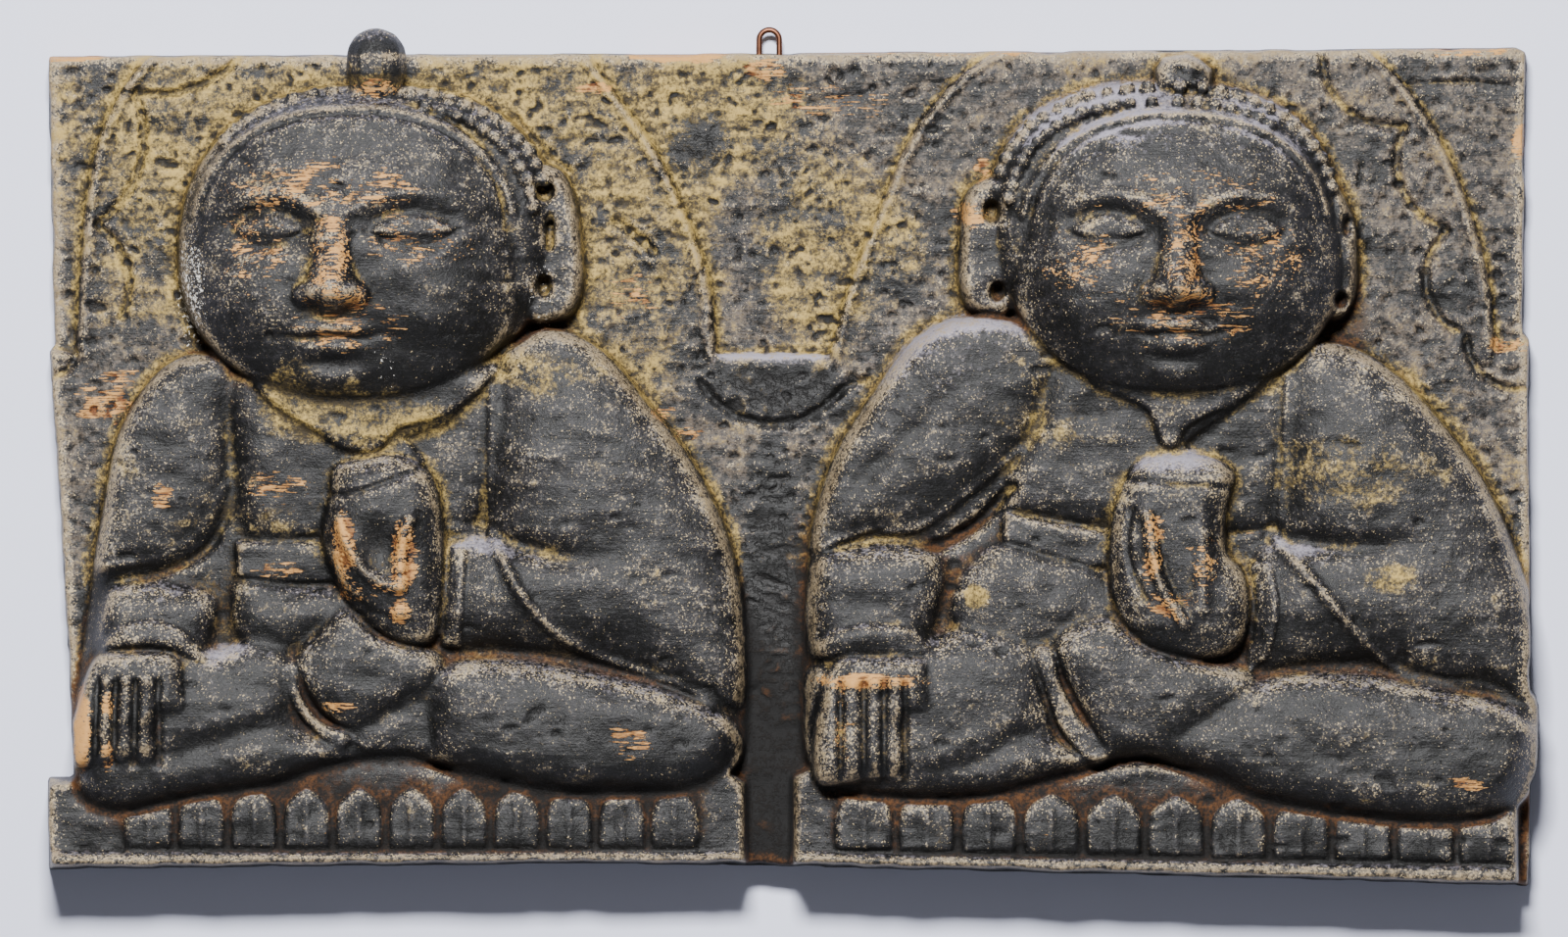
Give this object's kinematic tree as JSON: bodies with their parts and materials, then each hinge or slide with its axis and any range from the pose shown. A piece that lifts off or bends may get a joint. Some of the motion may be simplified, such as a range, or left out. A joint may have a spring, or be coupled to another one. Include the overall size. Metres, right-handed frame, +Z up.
{
  "type": "carved wood relief",
  "caption": "Carved wooden wall panel in relief: two seated figures with halos on lotus pedestals, hung from a wire loop in its top edge.",
  "frame": {"origin": "inside of the wire loop's bend, where a nail carries the panel, in the plane of the wire", "axes": "+Z up, -Y out of the carved front, +Y into the wall, +X to the viewer's right"},
  "size_m": [0.5061, 0.0653, 0.2913],
  "materials": {
    "lacquered_wood": "old charcoal lacquer worn to ochre ground and bare wood, semi-matt",
    "copper_wire": "aged copper wire, half bright"
  },
  "bodies": {
    "root": {"carved_panel": "lacquered_wood", "hanging_loop": "copper_wire"}
  },
  "joints": []
}
